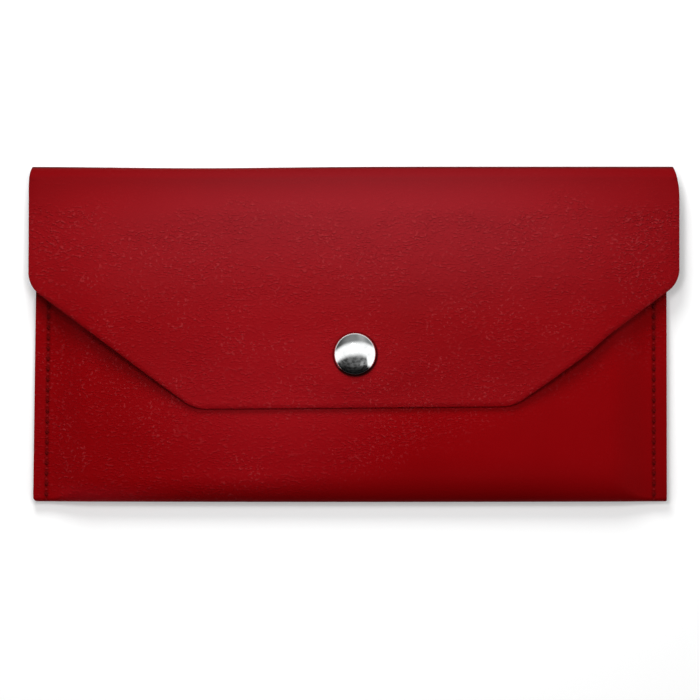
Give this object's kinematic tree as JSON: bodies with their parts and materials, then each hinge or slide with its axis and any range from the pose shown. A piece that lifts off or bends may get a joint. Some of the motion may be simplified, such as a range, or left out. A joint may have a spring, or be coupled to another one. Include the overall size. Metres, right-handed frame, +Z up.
{
  "type": "cash envelope wallet",
  "caption": "Slim leather envelope wallet for banknotes: a sewn pocket under a shaped flap that folds over from the top and closes with a domed snap.",
  "frame": {"origin": "centre of the wallet's plan, on the surface that its flat back rests on", "axes": "+X across the wallet along the fold, +Y from the base towards the top fold, +Z up out of the front, through the snap"},
  "size_m": [0.1912, 0.0984, 0.0142],
  "materials": {
    "leather": "satin pebbled",
    "thread": "matte",
    "bright_nickel": "polished",
    "snap_brass": "satin",
    "spring_wire": "satin"
  },
  "bodies": {
    "pocket": {"pocket_leather": "leather", "needle_thread_left": "thread", "needle_thread_right": "thread", "bobbin_thread_left": "thread", "bobbin_thread_right": "thread", "snap_stud": "bright_nickel", "snap_stud_eyelet": "snap_brass"},
    "flap": {"flap_leather": "leather", "snap_cap": "bright_nickel", "snap_socket": "snap_brass", "snap_spring": "spring_wire"}
  },
  "joints": [
    {"name": "flap_hinge", "type": "hinge", "parent": "pocket", "child": "flap", "pos_m": [0, 0.04925, 0.0036], "axis": [-1, 0, 0], "range_deg": [0, 170]}
  ]
}
